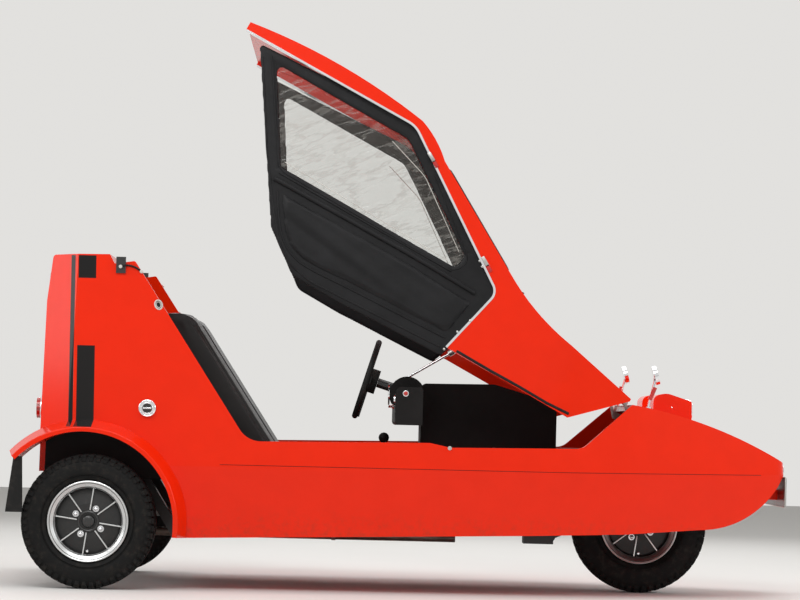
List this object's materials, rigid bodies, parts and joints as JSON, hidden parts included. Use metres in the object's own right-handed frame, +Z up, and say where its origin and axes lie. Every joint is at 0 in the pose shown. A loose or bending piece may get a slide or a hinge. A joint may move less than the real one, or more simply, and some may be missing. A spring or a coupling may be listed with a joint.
{
  "type": "three wheeled car",
  "caption": "Small wedge-shaped three-wheeled car with a canopy that hinges up at the scuttle, shown open, a single steered front wheel, flared rear arches and black side screens.",
  "frame": {"origin": "On the ground under the centre of the length and width.", "axes": "+X forward, +Y to the car's left, +Z up."},
  "size_m": [2.794, 1.397, 2.023],
  "materials": {
    "paint": "glossy orange-red gel coat",
    "black_liner": "black moulded plastic",
    "black_vinyl": "black vinyl-coated cloth",
    "clear_sheet": "clear flexible sheet",
    "glass": "clear glass",
    "lamp_glass": "clear lamp glass",
    "red_lens": "red lens",
    "amber_lens": "amber lens",
    "cushion": "black padded vinyl",
    "chassis_paint": "black paint on steel",
    "engine_alloy": "cast block",
    "damper": "black enamel",
    "exhaust_steel": "dull steel",
    "tyre": "black rubber",
    "wheel_alloy": "part polished alloy",
    "rubber": "black rubber",
    "chrome": "bright chrome",
    "plate": "blank plate",
    "zinc": "bright zinc"
  },
  "bodies": {
    "body": {"boot_floor": "black_liner", "chassis_frame": "chassis_paint", "dampers": "damper", "dashboard": "black_liner", "door_mirrors": "chrome", "driveline": "chassis_paint", "engine": "engine_alloy", "engine_cover": "black_liner", "exhaust": "exhaust_steel", "filler_cap": "chrome", "fin_latches": "chrome", "front_arm": "chassis_paint", "front_lamps": "amber_lens", "front_plate": "plate", "front_wheelhouse": "black_liner", "hand_levers": "rubber", "headlamp_pods": "paint", "headlamps": "lamp_glass", "hinge_brackets": "zinc", "lower_tub": "paint", "mudflaps": "rubber", "nose_deck": "paint", "pedals": "chassis_paint", "plate_brackets": "zinc", "rear_axle": "chassis_paint", "rear_lamps": "red_lens", "rear_quarters": "paint", "rear_wheelhouses": "black_liner", "seat_backs": "cushion", "seat_cushions": "cushion", "seat_moulding": "black_liner", "side_panels": "paint", "steering_column": "chassis_paint", "tail_panel": "paint", "tail_window": "glass"},
    "knuckle": {"front_knuckle": "chassis_paint"},
    "front_wheel": {"front_rim": "wheel_alloy", "front_tyre": "tyre"},
    "rear_wheel_left": {"rear_rim_left": "wheel_alloy", "rear_tyre_left": "tyre"},
    "rear_wheel_right": {"rear_rim_right": "wheel_alloy", "rear_tyre_right": "tyre"},
    "steering_wheel": {"steering_wheel": "rubber"},
    "canopy": {"canopy_shell": "paint", "windscreen": "glass", "side_screens": "black_vinyl", "side_windows": "clear_sheet", "canopy_trim": "chrome", "wiper": "chrome", "interior_mirror": "chrome"},
    "stay_tube": {"stay_tube": "chrome"},
    "stay_rod": {"stay_rod": "chrome"},
    "boot_lid": {"boot_lid": "paint", "rear_plate": "plate"}
  },
  "joints": [
    {"name": "steer_kingpin", "type": "hinge", "parent": "body", "child": "knuckle", "pos_m": [0.885, 0.074, 0.249], "axis": [0, 0, 1], "range_deg": [-35, 35]},
    {"name": "front_wheel_spin", "type": "hinge", "parent": "knuckle", "child": "front_wheel", "pos_m": [0.885, 0, 0.249], "axis": [0, 1, 0], "continuous": true},
    {"name": "rear_wheel_left_spin", "type": "hinge", "parent": "body", "child": "rear_wheel_left", "pos_m": [-1.103, 0.61, 0.236], "axis": [0, 1, 0], "continuous": true},
    {"name": "rear_wheel_right_spin", "type": "hinge", "parent": "body", "child": "rear_wheel_right", "pos_m": [-1.103, -0.61, 0.236], "axis": [0, 1, 0], "continuous": true},
    {"name": "steering_turn", "type": "hinge", "parent": "body", "child": "steering_wheel", "pos_m": [-0.139, -0.3, 0.763], "axis": [-0.9563, 0, 0.2924], "range_deg": [-360, 360]},
    {"name": "canopy_lift", "type": "hinge", "parent": "body", "child": "canopy", "pos_m": [0.8, 0, 0.7], "axis": [0, -1, 0], "range_deg": [0, 28.5]},
    {"name": "stay_swing", "type": "hinge", "parent": "canopy", "child": "stay_tube", "pos_m": [0.40163, 0.33, 1.01416], "axis": [0, -1, 0], "range_deg": [-55.1, 0.5]},
    {"name": "stay_slide", "type": "slide", "parent": "stay_tube", "child": "stay_rod", "axis": [-0.8564, 0, -0.5163], "range_m": [-0.1723, 0.001]},
    {"name": "boot_lid_hinge", "type": "hinge", "parent": "body", "child": "boot_lid", "pos_m": [-1.29792, 0, 0.809], "axis": [0, 1, 0], "range_deg": [0, 80]}
  ],
  "couplings": [
    {"joint": "steering_turn", "follows": "steer_kingpin", "ratio": 10},
    {"joint": "stay_swing", "follows": "canopy_lift", "ratio": -1.9276},
    {"joint": "stay_slide", "follows": "canopy_lift", "m_per_rad": -0.34428}
  ]
}
